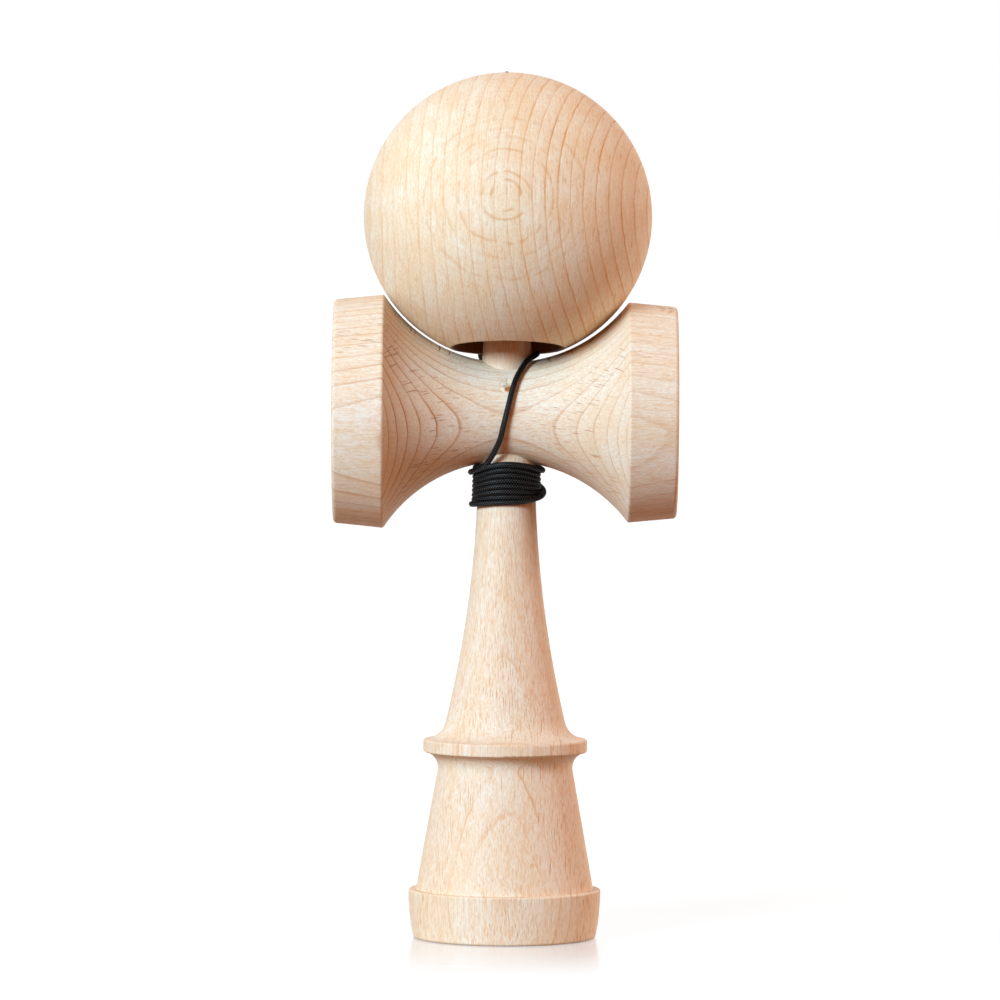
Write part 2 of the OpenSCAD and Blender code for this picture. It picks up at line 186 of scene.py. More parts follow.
# %% Follow the route in even steps
def even_route(points, step):
    """Even steps along a smooth curve through all of the points, with the curve's direction at each."""
    knots = np.concatenate([[0], np.cumsum(np.linalg.norm(np.diff(points, axis=0), axis=1) ** 0.5)])
    slopes = np.gradient(points, knots, axis=0)
    fine = np.concatenate([np.linspace(a, b, 24, endpoint=False) for a, b in zip(knots[:-1], knots[1:])])
    fine = np.append(fine, knots[-1])
    i = np.clip(np.searchsorted(knots, fine, side="right") - 1, 0, len(knots) - 2)
    span = (knots[i + 1] - knots[i])[:, None]
    t = (fine - knots[i])[:, None] / span
    curve = (
        (2 * t**3 - 3 * t**2 + 1) * points[i] + (t**3 - 2 * t**2 + t) * span * slopes[i]
        + (3 * t**2 - 2 * t**3) * points[i + 1] + (t**3 - t**2) * span * slopes[i + 1]
    )
    run = np.concatenate([[0], np.cumsum(np.linalg.norm(np.diff(curve, axis=0), axis=1))])
    along = np.linspace(0, run[-1], round(run[-1] / step) + 1)
    even = np.column_stack([np.interp(along, run, curve[:, k]) for k in range(3)])
    ahead = np.gradient(even, axis=0)
    return even, ahead / np.linalg.norm(ahead, axis=1)[:, None], along


def untwisted_sides(ahead):
    """A side direction for each step, carried along without turning about the string."""
    side = np.cross(ahead[0], (0.3, 0.2, 1))
    sides = []
    for direction in ahead:
        side = side - direction * side.dot(direction)
        side = side / np.linalg.norm(side)
        sides.append(side)
    return np.array(sides)


print("made even_route and untwisted_sides")

# %% [markdown]
# ## Braiding it
# The string is a tubular braid: two sets of yarns run round it in opposite directions and pass over and
# under each other, which is what makes the small herringbone glints. It could be a smooth tube with a
# bump texture, but a bump leaves the outline smooth, so here the tube's own surface is pushed in and out.
# Each point of the tube knows how far along and how far round it lies, and from that which yarn is on top
# there. The real yarns cross about every 0.4 mm, which is barely two pixels of the picture, so they are
# drawn a little coarser, every 0.52 mm, to show.

# %% Sweep the braid along the route
braid_sides = 36
braid_step = 0.085
yarns_each_way = 5
braid_lead = 2.6
yarn_relief = 0.19


def yarn_height(along, around):
    """Height of the braid, from 0 to 1, at a distance along it and a share of a turn around it."""
    right = yarns_each_way * (around - along / braid_lead)
    left = yarns_each_way * (around + along / braid_lead)
    over_right = np.cos(np.pi * (left - 0.5 - np.floor(right)))
    over_left = -np.cos(np.pi * (right - 0.5 - np.floor(left)))
    round_right = 1 - (2 * (right % 1) - 1) ** 2
    round_left = 1 - (2 * (left % 1) - 1) ** 2
    return np.maximum(0.6 * round_right + 0.4 * over_right, 0.6 * round_left + 0.4 * over_left).clip(0, 1)


def braided_tube(name, points, diameter):
    """A closed braided tube through points given in millimetres, and its centreline in metres."""
    centre, ahead, along = even_route(np.array(points, float), braid_step)
    side = untwisted_sides(ahead)
    up = np.cross(ahead, side)
    around = np.arange(braid_sides) / braid_sides
    height = yarn_height(along[:, None], around[None, :])
    radius = diameter / 2 - yarn_relief * (1 - height)
    turned = (
        np.cos(2 * np.pi * around)[None, :, None] * side[:, None, :]
        + np.sin(2 * np.pi * around)[None, :, None] * up[:, None, :]
    )
    skin = (centre[:, None, :] + turned * radius[:, :, None]).reshape(-1, 3) * MM
    first = np.arange(len(centre) - 1)[:, None] * braid_sides
    here = np.arange(braid_sides)[None, :]
    after = (here + 1) % braid_sides
    walls = np.stack(
        [first + here, first + after, first + after + braid_sides, first + here + braid_sides], -1
    )
    ends = [list(range(braid_sides))[::-1], [len(skin) - braid_sides + k for k in range(braid_sides)]]
    mesh = bpy.data.meshes.new(name)
    mesh.from_pydata(skin.tolist(), [], walls.reshape(-1, 4).tolist() + ends)
    mesh.polygons.foreach_set("use_smooth", [True] * len(mesh.polygons))
    mesh.attributes.new("yarn_top", "FLOAT", "POINT").data.foreach_set("value", height.ravel())
    piece = bpy.data.objects.new(name, mesh)
    bpy.context.scene.collection.objects.link(piece)
    return piece, centre * MM


string, string_line = braided_tube("braided_string", string_points, string_d)
print("yarns cross every", round(braid_lead / yarns_each_way, 2), "mm")

# %% [markdown]
# ## Knots at both ends
# Each end of the string is a small stopper knot, one in the handle's cross hole and one under the bead.
# Neither can be seen until the toy is taken apart, but a cut-off tube would be wrong. The tightest simple
# knot follows a curve that winds twice round a ring while it turns three times about it, so a formula
# gives its line and the same braiding function gives it its skin. The cord is drawn thinner there,
# because a tight knot squeezes it.

# %% Tie the knots
def stopper_knot(name, place, axis, width, height):
    """A tight overhand knot, centred on a place in millimetres, with its axis along the string."""
    cord_d = 0.25 * width
    ring_r = 0.265 * width
    weave_r = 0.11 * width
    t = np.linspace(0, 2 * np.pi, 97)
    reach = ring_r + weave_r * np.cos(3 * t)
    rise = (height - cord_d) / 2 * np.sin(3 * t)
    upright = Vector((0, 0, 1)).rotation_difference(Vector(axis)).to_matrix()
    line = [Vector(p) for p in zip(reach * np.cos(2 * t), reach * np.sin(2 * t), rise)]
    return braided_tube(name, [Vector(place) + upright @ p for p in line], cord_d)[0]


anchor_low, anchor_high = (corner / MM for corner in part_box("anchor_knot"))
bead_low, bead_high = (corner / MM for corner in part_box("bead_knot"))
anchor_knot = stopper_knot(
    "tied_anchor_knot", (anchor_low + anchor_high) / 2, (0, 1, 0), anchor_high.x - anchor_low.x,
    anchor_high.y - anchor_low.y,
)
bead_knot = stopper_knot(
    "tied_bead_knot", (bead_low + bead_high) / 2, ball_axis, bead_high.x - bead_low.x, 2.5
)
print("knots:", [len(knot.data.polygons) for knot in (anchor_knot, bead_knot)], "faces")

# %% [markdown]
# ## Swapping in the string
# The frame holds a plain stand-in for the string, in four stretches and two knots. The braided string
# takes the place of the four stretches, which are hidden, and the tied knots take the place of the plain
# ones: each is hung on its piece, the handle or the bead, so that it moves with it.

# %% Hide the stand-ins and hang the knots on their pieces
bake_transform(string)
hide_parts("string_anchor_tail", "string_winding", "string_lead", "string_riser")
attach(anchor_knot, "handle_body")
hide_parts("anchor_knot")
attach(bead_knot, "bead_body")
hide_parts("bead_knot")

# %% [markdown]
# ## Colours and nodes
# Colours are written as the hex values that a paint program shows, and a shader wants them linear, so one
# function turns one into the other. Every material is a graph of nodes. Each node could be set up by
# itself, but that takes many lines, so one function adds a node, gives it its settings, and fills its
# inputs with plain values or with links.

# %% Helpers for colours and nodes
def linear(hex_colour):
    """Linear red, green, blue and alpha of an sRGB colour such as #E8CDB2."""
    parts = [int(hex_colour[i : i + 2], 16) / 255 for i in (1, 3, 5)]
    return [p / 12.92 if p <= 0.04045 else ((p + 0.055) / 1.055) ** 2.4 for p in parts] + [1]


def add_node(tree, kind, inputs=None, **settings):
    """Adds a node with its settings, and fills its inputs with values or with links."""
    node = tree.nodes.new(kind)
    for name, value in settings.items():
        setattr(node, name, value)
    for key, value in (inputs or {}).items():
        if isinstance(value, bpy.types.NodeSocket):
            tree.links.new(value, node.inputs[key])
        else:
            node.inputs[key].default_value = value
    return node


def new_material(name):
    """An empty material and its node tree."""
    material = bpy.data.materials.new(name)
    material.use_nodes = True
    material.node_tree.nodes.clear()
    return material, material.node_tree


print("#E8CDB2 in linear light:", [round(part, 3) for part in linear("#E8CDB2")[:3]])

# %% [markdown]
# ## Sanded beech
# Beech is a pale pinkish wood. What the eye reads as beech is three things: thin darker lines where one
# year's ring ends, short brown dashes where the wood's rays are cut across, and a fine streak along the
# fibre. All three lie inside the wood, so a flat pattern wrapped on the surface would not meet at the
# edges. The pattern is therefore solid: a point of the object is turned into board coordinates, across
# the rings, along the ring and along the fibre, and every size is a real one in millimetres. Each of the
# three pieces was cut from its own board, so each gets its own directions, ring places and tint.

# %% Where a point lies in its board
def board_axes(tree, origin, across, along_ring, fibre):
    """Sockets with a point's place in its board in millimetres: one per direction, and all three as one."""
    place = add_node(tree, "ShaderNodeTexCoord").outputs["Object"]
    place = add_node(tree, "ShaderNodeVectorMath", {0: place, 1: origin}, operation="SUBTRACT").outputs[0]
    axes = []
    for direction in (across, along_ring, fibre):
        per_mm = Vector(direction).normalized() / MM
        along = add_node(tree, "ShaderNodeVectorMath", {0: place, 1: per_mm}, operation="DOT_PRODUCT")
        axes.append(along.outputs["Value"])
    return axes, add_node(tree, "ShaderNodeCombineXYZ", dict(enumerate(axes))).outputs[0]


def grain_noise(tree, board, size, detail=1):
    """Noise from 0 to 1. A blot's size is in mm: across the rings, along them and along the fibre."""
    place = add_node(tree, "ShaderNodeVectorMath", {0: board, 1: size}, operation="DIVIDE").outputs[0]
    return add_node(
        tree, "ShaderNodeTexNoise", {"Vector": place, "Scale": 1, "Detail": detail}
    ).outputs["Fac"]


print("made board_axes and grain_noise")

# %% [markdown]
# ## Year rings
# A beech adds a ring each year, and the last wood of the year is darker. A wave texture would give even
# stripes, and real rings are uneven: they bow about the heart of the trunk, waver, and differ in
# strength. So the years are counted across the board, the end of each is darkened, and each year draws
# its own strength.

# %% Year rings
def leaning(tree, axes, lean):
    """A share that changes evenly along one axis of the board, between two places in millimetres."""
    axis, start, end, share_at_start, share_at_end = lean
    return add_node(
        tree, "ShaderNodeMapRange",
        {
            "Value": axes[axis], "From Min": start, "From Max": end,
            "To Min": share_at_start, "To Max": share_at_end,
        },
    ).outputs[0]


def set_ramp(ramp, stops):
    """Gives a colour ramp its stops: pairs of a place from 0 to 1 and a grey value."""
    while len(ramp.elements) < len(stops):
        ramp.elements.new(0.5)
    for element, (place, grey) in zip(ramp.elements, stops):
        element.position = place
        element.color = (grey, grey, grey, 1)


def year_rings(tree, axes, board, rings):
    """Thin dark lines at the end of each year, bowed about the heart of the trunk, wavering and patchy."""
    across, along_ring = axes[:2]
    bend = add_node(
        tree, "ShaderNodeMath", {0: across, 1: rings["bow_growth"], 2: rings["bow"]},
        operation="MULTIPLY_ADD",
    ).outputs[0]
    squared = add_node(
        tree, "ShaderNodeMath", {0: along_ring, 1: along_ring}, operation="MULTIPLY"
    ).outputs[0]
    bowed = add_node(tree, "ShaderNodeMath", {0: bend, 1: squared}, operation="MULTIPLY").outputs[0]
    depth = add_node(tree, "ShaderNodeMath", {0: across, 1: bowed}, operation="SUBTRACT").outputs[0]
    drifts = (((9, 9, 45), rings["sway"]), ((2.2, 2.2, 14), 0.2), ((0.5, 0.5, 8), rings["teeth"]))
    for size, sway in drifts:
        drift = grain_noise(tree, board, size)
        depth = add_node(
            tree, "ShaderNodeMath", {0: drift, 1: sway, 2: depth}, operation="MULTIPLY_ADD"
        ).outputs[0]
    depth = add_node(tree, "ShaderNodeMath", {0: depth, 1: rings["first"]}, operation="SUBTRACT").outputs[0]
    year = add_node(tree, "ShaderNodeMath", {0: depth, 1: rings["gap"]}, operation="DIVIDE").outputs[0]
    number = add_node(tree, "ShaderNodeMath", {0: year}, operation="FLOOR").outputs[0]
    within = add_node(tree, "ShaderNodeMath", {0: year}, operation="FRACT").outputs[0]
    line = add_node(tree, "ShaderNodeValToRGB", {"Fac": within})
    # Across one year: pale early wood, a slow rise, a sharp dark line, and pale again.
    ring_profile = [(0, 0), (0.45, 0.04), (0.84, 0.2), (0.94, 1), (0.985, 0.8), (1, 0)]
    set_ramp(line.color_ramp, ring_profile)
    luck = add_node(tree, "ShaderNodeTexWhiteNoise", {"W": number}, noise_dimensions="1D").outputs["Value"]
    strength = add_node(
        tree, "ShaderNodeMapRange", {"Value": luck, "To Min": rings["faint"], "To Max": rings["strong"]}
    ).outputs[0]
    blots = grain_noise(tree, board, (7, 7, 14))
    patch = add_node(
        tree, "ShaderNodeMapRange",
        {"Value": blots, "From Min": 0.36, "From Max": 0.6, "To Min": rings["patchy"]},
    ).outputs[0]
    strength = add_node(tree, "ShaderNodeMath", {0: strength, 1: patch}, operation="MULTIPLY").outputs[0]
    # The lean draws lines stronger towards one side. On the handle, cross-piece and ball that is the shaded
    # side, so it is painted shade.
    leaned = leaning(tree, axes, rings["lean"])
    strength = add_node(tree, "ShaderNodeMath", {0: strength, 1: leaned}, operation="MULTIPLY").outputs[0]
    return add_node(
        tree, "ShaderNodeMath", {0: line.outputs["Color"], 1: strength}, operation="MULTIPLY"
    ).outputs[0]


print("made leaning, set_ramp and year_rings")

# %% [markdown]
# ## Rays
# Rays are thin plates that stand across the rings. Cut across, they show as short brown dashes, and cut
# along, as long fine lines. Dashes painted on the surface would look the same on every side, so cells are
# scattered through the board, stretched to the size of a ray, and only a share of them is kept.

# %% Rays
def ray_dashes(tree, board, rays):
    """Cut rays: thin plates across the rings, which show as short dashes or as long fine lines."""
    dash = 0.0
    for size, edge, keep in rays:
        place = add_node(tree, "ShaderNodeVectorMath", {0: board, 1: size}, operation="DIVIDE").outputs[0]
        plate = add_node(tree, "ShaderNodeTexVoronoi", {"Vector": place, "Scale": 1})
        shape = add_node(
            tree, "ShaderNodeMapRange",
            {"Value": plate.outputs["Distance"], "From Min": edge, "From Max": edge / 2},
        ).outputs[0]
        luck = add_node(tree, "ShaderNodeSeparateColor", {0: plate.outputs["Color"]}).outputs[0]
        kept = add_node(
            tree, "ShaderNodeMapRange", {"Value": luck, "From Min": 1 - keep, "From Max": 1}
        ).outputs[0]
        shown = add_node(tree, "ShaderNodeMath", {0: kept, 1: 0.5}, operation="POWER").outputs[0]
        shape = add_node(tree, "ShaderNodeMath", {0: shape, 1: shown}, operation="MULTIPLY").outputs[0]
        dash = add_node(tree, "ShaderNodeMath", {0: shape, 1: dash}, operation="MAXIMUM").outputs[0]
    return dash


print("made ray_dashes")

# %% [markdown]
# ## Layers of the wood
# One material holds all the layers: clouds of tint, fibre, rings, rays, and marks of the piece's own. One
# picture of wood could give them all, but it would fit only one piece. The pores of beech are under 0.1
# mm wide, too fine to show, so the finest streaks are drawn 0.15 to 0.18 mm wide, and the nap that
# sanding raises is drawn 0.35 mm wide. The wood was sanded and left bare, so its skin is dull.

# %% Sanded beech from its layers
nap_share = 1.6
nap_depth = 0.06


def sanded_beech(name, board_at, rings, rays, grain, tints, marks=None):
    """A beech material: clouds of tint, fibre, rings, rays, extra marks, and a skin that was only sanded."""
    material, tree = new_material(name)
    axes, board = board_axes(tree, *board_at)
    clouds = grain_noise(tree, board, (5, 7, 28), 2)
    cloud = add_node(
        tree, "ShaderNodeMapRange", {"Value": clouds, "From Min": 0.35, "From Max": 0.65}
    ).outputs[0]
    layers = []
    # The list runs from the coarsest streaks to the finest, and the finest also roughen the skin.
    for size, share in grain:
        finest = grain_noise(tree, board, size, 2)
        fibre = add_node(
            tree, "ShaderNodeMapRange", {"Value": finest, "From Min": 0.46, "From Max": 0.7, "To Max": share}
        ).outputs[0]
        layers.append((fibre, "fibre"))
    dash = ray_dashes(tree, board, rays)
    # ray_lean does the same for the dashes: stronger on the shaded side, as painted shade.
    leaned = leaning(tree, axes, tints["ray_lean"])
    shown = add_node(tree, "ShaderNodeMath", {0: dash, 1: leaned}, operation="MULTIPLY").outputs[0]
    for share, tint in ((year_rings(tree, axes, board, rings), "ring"), (shown, "ray")):
        # fades weakens rings and dashes on the cross-piece's bright cup bands: painted highlight.
        if "fades" in tints:
            out = add_node(tree, "ShaderNodeMath", {0: axes[2]}, operation="ABSOLUTE").outputs[0]
            fade = leaning(tree, [out], tints["fades"])
            share = add_node(tree, "ShaderNodeMath", {0: share, 1: fade}, operation="MULTIPLY").outputs[0]
        layers.append((share, tint))
    if marks:
        layers += marks(tree, axes, board)
    colour = add_node(
        tree, "ShaderNodeMix", {0: cloud, 6: linear(tints["pale"]), 7: linear(tints["warm"])},
        data_type="RGBA",
    ).outputs[2]
    for share, tint in layers:
        colour = add_node(
            tree, "ShaderNodeMix", {0: share, 6: colour, 7: linear(tints[tint])}, data_type="RGBA"
        ).outputs[2]
    nap = grain_noise(tree, board, (0.35, 0.35, 1.2), 2)
    height = add_node(
        tree, "ShaderNodeMath", {0: nap, 1: nap_share, 2: finest}, operation="MULTIPLY_ADD"
    ).outputs[0]
    height = add_node(tree, "ShaderNodeMath", {0: height, 1: dash}, operation="SUBTRACT").outputs[0]
    bump = add_node(tree, "ShaderNodeBump", {"Height": height, "Strength": 0.6, "Distance": nap_depth * MM})
    skin = add_node(
        tree, "ShaderNodeBsdfPrincipled",
        {
            "Base Color": colour, "Roughness": 0.55, "Specular IOR Level": 0.2, "IOR": 1.5,
            "Normal": bump.outputs[0],
        },
    )
    add_node(tree, "ShaderNodeOutputMaterial", {"Surface": skin.outputs[0]})
    return material


print("made sanded_beech")

# %% [markdown]
# ## Beech of the handle
# The handle was turned with the fibre upright, from a board whose rings face the front, so neck and foot
# show a few broken flames and a great many short ray dashes. The rings could be drawn as flat stripes,
# but a turned neck cuts them at every depth, so they are solid here too. The spike is painted darker and
# redder towards its tip, as painted shade under the ball.

# %% Beech of the handle
def dress(node, material):
    """Gives a piece of the frame its material, in place of the plain one that it came with."""
    nodes[node].data.materials.clear()
    nodes[node].data.materials.append(material)
    print("made", material.name)


def spike_painted_shade(tree, axes, board):
    """The spike, painted darker and redder towards its tip, in streaks: painted shade under the ball."""
    shade_toward_tip = leaning(tree, axes, (2, 118.5, 122.5, 0.1, 0.65))
    streaks = grain_noise(tree, board, (0.4, 0.4, 14))
    streak = add_node(
        tree, "ShaderNodeMapRange", {"Value": streaks, "From Min": 0.35, "From Max": 0.65, "To Min": 0.45}
    ).outputs[0]
    spike_shade = add_node(tree, "ShaderNodeMath", {0: shade_toward_tip, 1: streak}, operation="MULTIPLY").outputs[0]
    return [(spike_shade, "mark")]


# Sanded, bare beech: pale and dry to the eye, with fine brown dashes and almost no shine.
handle_beech = sanded_beech(
    "sanded_handle_beech",
    board_at=((0, 0, 0), (0, -1, 0), (1, 0, 0), (0.02, 0, 1)),
    # lean and ray_lean draw rings and dashes stronger on the right, the shaded side: painted shade.
    rings={
        "first": 8.6, "gap": 2.1, "bow": 0.004, "bow_growth": 0, "sway": 1.6, "teeth": 0.35, "faint": 0.15,
        "strong": 0.65, "patchy": 0.2, "lean": (1, -10, 10, 0.6, 1),
    },
    rays=[((12, 0.2, 3), 0.3, 0.7), ((14, 0.3, 8), 0.24, 0.6)],
    grain=[((0.55, 0.55, 20), 0.35), ((0.2, 0.2, 7), 0.55), ((0.17, 0.17, 1), 0.5)],
    tints={
        "pale": "#E7DFCD", "warm": "#E7D6BC", "fibre": "#DBA86E", "ring": "#CC8434", "ray": "#BE7229",
        # mark is the spike's painted shade: darker and redder, as under the ball
        "mark": "#DE9E68", "ray_lean": (1, -12, 10, 0.55, 1),
    },
    marks=spike_painted_shade,
)
dress("handle", handle_beech)

# %% [markdown]
# ## Beech of the cross-piece
# Its fibre runs from cup to cup. Where the waist flares out to the cups, the cut crosses ring after ring,
# and they show as nested curves on either side. Painting those curves would mean fitting each one, but
# tilting the rings by 14 degrees in a solid board makes them all at once, and they meet at the edges.

# %% Beech of the cross-piece
cross_low, cross_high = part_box("cup_crosspiece")
cross_height = (cross_low.z + cross_high.z) / 2
ring_tilt = math.radians(14)
# The same sanded beech with stronger, darker rings: the eye sees nested curves and fewer dashes.
crosspiece_beech = sanded_beech(
    "sanded_crosspiece_beech",
    board_at=(
        (0, 0, cross_height), (0, -math.cos(ring_tilt), -math.sin(ring_tilt)),
        (0, -math.sin(ring_tilt), math.cos(ring_tilt)), (1, 0, 0.03),
    ),
    # lean and ray_lean draw lines stronger on the left saddle, which lies in shade, and fades makes them
    # fainter on the bright cup bands: painted shade and painted highlight.
    rings={
        "first": 12.6, "gap": 2.05, "bow": 0.003, "bow_growth": 0, "sway": 0.8, "teeth": 0.05, "faint": 0.8,
        "strong": 1, "patchy": 0.65, "lean": (2, -14, -3, 1, 0.5),
    },
    rays=[((14, 0.3, 3.4), 0.3, 0.3), ((16, 0.42, 6), 0.24, 0.25)],
    grain=[((0.5, 0.5, 14), 0.3), ((0.2, 0.2, 5), 0.48), ((0.17, 0.17, 0.8), 0.5)],
    tints={
        "pale": "#E7DFCE", "warm": "#E6D4B9", "fibre": "#DAA66B", "ring": "#B87634", "ray": "#9C5418",
        "ray_lean": (2, -12, 12, 0.9, 0.65), "fades": (0, 24, 27, 1, 0.6),
    },
)
dress("cup_crosspiece", crosspiece_beech)

# %% [markdown]
# ## Marks of the lathe
# Where the ball's fibre meets the surface end on, the lathe and the sandpaper left broken arcs and fine
# scratches. A bump could carry them, but they show as colour, so they are one more layer of tint. Real
# scratches are finer than these, which are drawn 0.2 mm wide to show. The wide hole is painted dark
# inside, as painted shade.

# %% Marks of the lathe
marks_span = 20
lathe_arcs = ((3.7, 0.75), (5.6, 0.55), (10.4, 0.5), (13.2, 0.3), (15.2, 0.22), (17.3, 0.35))
arc_inside, arc_outside = 0.55, 0.45
bore_edge, bore_end = 11.5, 12


def lathe_marks(tree, axes, board):
    """Broken arcs and fine scratches round the end grain, left by the lathe and the sandpaper, and painted
    shade inside the wide hole.
    """
    across, along_ring, fibre = axes
    flat = add_node(tree, "ShaderNodeCombineXYZ", {0: across, 1: along_ring})
    reach = add_node(
        tree, "ShaderNodeVectorMath", {0: flat.outputs[0]}, operation="LENGTH"
    ).outputs["Value"]
    turned = add_node(tree, "ShaderNodeMath", {0: along_ring, 1: across}, operation="ARCTAN2").outputs[0]
    drift = grain_noise(tree, board, (4, 4, 4))
    wobble = add_node(
        tree, "ShaderNodeMath", {0: drift, 1: 1.2, 2: reach}, operation="MULTIPLY_ADD"
    ).outputs[0]
    place = add_node(tree, "ShaderNodeMath", {0: wobble, 1: marks_span}, operation="DIVIDE").outputs[0]
    arcs = add_node(tree, "ShaderNodeValToRGB", {"Fac": place})
    stops = [(0, 0)]
    for radius, strength in lathe_arcs:
        stops.append(((radius - arc_inside) / marks_span, 0.02))
        stops.append((radius / marks_span, strength))
        stops.append(((radius + arc_outside) / marks_span, 0.02))
    set_ramp(arcs.color_ramp, stops)
    broken = add_node(
        tree, "ShaderNodeMapRange",
        {"Value": grain_noise(tree, board, (3.2, 3.2, 30)), "From Min": 0.4, "From Max": 0.56},
    ).outputs[0]
    arc = add_node(
        tree, "ShaderNodeMath", {0: arcs.outputs["Color"], 1: broken}, operation="MULTIPLY"
    ).outputs[0]
    circle = add_node(tree, "ShaderNodeCombineXYZ", {0: reach, 1: turned})
    scratches = grain_noise(tree, circle.outputs[0], (0.2, 0.35, 1), 2)
    scratch = add_node(
        tree, "ShaderNodeMapRange", {"Value": scratches, "From Min": 0.5, "From Max": 0.8, "To Max": 0.3}
    ).outputs[0]
    marked = add_node(tree, "ShaderNodeMath", {0: arc, 1: scratch}, operation="MAXIMUM").outputs[0]
    # Painted shade: the wall of the wide hole is painted dark brown.
    round_hole = add_node(tree, "ShaderNodeCombineXYZ", {0: across, 1: fibre})
    out = add_node(
        tree, "ShaderNodeVectorMath", {0: round_hole.outputs[0]}, operation="LENGTH"
    ).outputs["Value"]
    inside = leaning(tree, [out], (0, bore_edge, bore_end, 0.85, 0))
    below = leaning(tree, axes, (1, 0, 5, 0, 1))
    hole_painted_shade = add_node(tree, "ShaderNodeMath", {0: inside, 1: below}, operation="MULTIPLY").outputs[0]
    return [(marked, "mark"), (hole_painted_shade, "bore")]


print("made lathe_marks with", len(lathe_arcs), "arcs")

# %% [markdown]
# ## Beech of the ball
# The ball is set with its fibre pointing at the front, so its rings run up and down as fine lines,
# drawn stronger at the right, the shaded side, as painted shade. It could share the handle's wood, but its
# rings lie another way, so it gets a board of its own, which turns with it.

# %% Beech of the ball
ball_fibre = Vector((-0.02, -ball_axis[2], ball_axis[1])).normalized()
ball_across = (Vector((1, 0, 0)) - ball_fibre * ball_fibre.x).normalized()
# Sanded beech seen end on: upright ring lines, faint arcs in the middle and painted shade in the bore.
ball_beech = sanded_beech(
    "sanded_ball_beech",
    board_at=(tuple(ball_centre * MM), ball_across, ball_across.cross(ball_fibre), ball_fibre),
    # lean and ray_lean draw lines fainter on the lit left and stronger on the shaded right: painted shade.
    rings={
        "first": 0.9, "gap": 2.6, "bow": 0.006, "bow_growth": 0.0002, "sway": 0.5, "teeth": 0.2,
        "faint": 0.5, "strong": 1, "patchy": 0.5, "lean": (0, -16, 10, 0.4, 1),
    },
    rays=[((0.3, 2.6, 9), 0.3, 0.35)],
    grain=[((0.5, 6, 16), 0.18), ((0.22, 3, 6), 0.3), ((0.18, 0.7, 2), 0.42)],
    tints={
        "pale": "#E7DCC4", "warm": "#E7D1B0", "fibre": "#D9A566", "ring": "#CC8634", "ray": "#BA7024",
        "mark": "#CB8A46", "bore": "#7E4A20", "ray_lean": (0, -16, 14, 0.25, 0.7),
    },
    marks=lathe_marks,
)
dress("ball", ball_beech)

# %% [markdown]
# ## Wood of the bead
# A small bead sits inside the ball and keeps the string from slipping out. It cannot be seen in the
# picture, so its wood is a guess: the same layers in a darker tint, with finer rings to suit its size.

# %% Wood of the bead
bead_centre = sum(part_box("stop_bead"), Vector()) / 2
# A plain darker wood, sanded: a small brown bead that does not catch the eye.
bead_wood = sanded_beech(
    "sanded_bead_wood",
    board_at=(bead_centre, (1, 0, 0), Vector(ball_axis).cross(Vector((1, 0, 0))), ball_axis),
    rings={
        "first": 0.3, "gap": 1.4, "bow": 0.02, "bow_growth": 0, "sway": 0.5, "teeth": 0.1, "faint": 0.4,
        "strong": 0.8, "patchy": 0.5, "lean": (0, -3, 3, 0.8, 1),
    },
    rays=[((4, 0.2, 1.2), 0.3, 0.4)],
    grain=[((0.3, 0.3, 4), 0.4), ((0.15, 0.15, 1), 0.4)],
    tints={
        "pale": "#CDAE8A", "warm": "#C39C72", "fibre": "#A9773F", "ring": "#8C5826", "ray": "#7B4A1C",
        "ray_lean": (0, -3, 3, 0.6, 0.8),
    },
)
dress("stop_bead", bead_wood)

# %% [markdown]
# ## Torn fibres
# Beside the string, on the front of the waist, is a small pale spot with an orange core. It is taken to
# be the front string hole, where a drill tore the beech as it broke through. A painted dot would look
# flat from the side, so thin slivers start all round the hole's edge and lean inwards, each with its own
# length, depth and bend.

# %% Torn fibres in the front hole
hole_at = Vector((0, 0, 115.4))
hole_r = 1.5
waist_r = 10.3
sliver_count = 230
sliver_depth = 0.1
dice = np.random.default_rng(11)


def on_waist(x, z, depth):
    """A point so deep under the front of the waist, in metres."""
    return Vector((x, depth - math.sqrt(waist_r**2 - (z - cross_height / MM) ** 2), z)) * MM


sliver_points, sliver_faces = [], []
# A sliver has nine points: four at its root, four further on, and its tip.
for count in range(sliver_count):
    side = -1 if count % 2 else 1
    rise = dice.uniform(-1.4, 1.4)
    root_x = side * math.sqrt((hole_r + 0.08) ** 2 - rise**2)
    deep = dice.uniform(0, 0.85)
    reach = dice.uniform(0.4, 1.1) + 2.1 * deep
    bend = dice.uniform(-0.3, 0.3)
    wide = dice.uniform(0.06, 0.14)
    lift = dice.uniform(-0.25, 0.1)
    first = len(sliver_points)
    for share, girth in ((0, 1), (0.55, 0.8)):
        x, z = root_x - side * reach * share, hole_at.z + rise + bend * share
        for up, out in ((-1, -0.6), (1, -0.6), (1, 0.6), (-1, 0.6)):
            depth = sliver_depth + deep + lift * share + out * wide * girth
            sliver_points.append(on_waist(x, z + up * wide * girth, depth))
    tip_depth = sliver_depth + deep + lift
    sliver_points.append(on_waist(root_x - side * reach, hole_at.z + rise + bend, tip_depth))
    for k in range(4):
        after = (k + 1) % 4
        sliver_faces.append((first + k, first + after, first + 4 + after, first + 4 + k))
        sliver_faces.append((first + 4 + k, first + 4 + after, first + 8))
torn_mesh = bpy.data.meshes.new("torn_fibres")
torn_mesh.from_pydata(sliver_points, [], sliver_faces)
torn_fibres = bpy.data.objects.new("torn_fibres", torn_mesh)
bpy.context.scene.collection.objects.link(torn_fibres)
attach(torn_fibres, "handle_body")
print("slivers:", len(sliver_points) // 9)

# %% [markdown]
# ## Torn beech
# A tear is raw wood that was never sanded, so it is pale and does not shine. Next to the string it is
# painted orange, as painted shade deep in the hole. One colour for all slivers would lose that core, and
# two sets of slivers would show a border, so the tint follows the distance from the core.

# %% Torn beech
core_right, core_down = 0.25, 0.4
core_edge, core_end = 0.55, 1.05
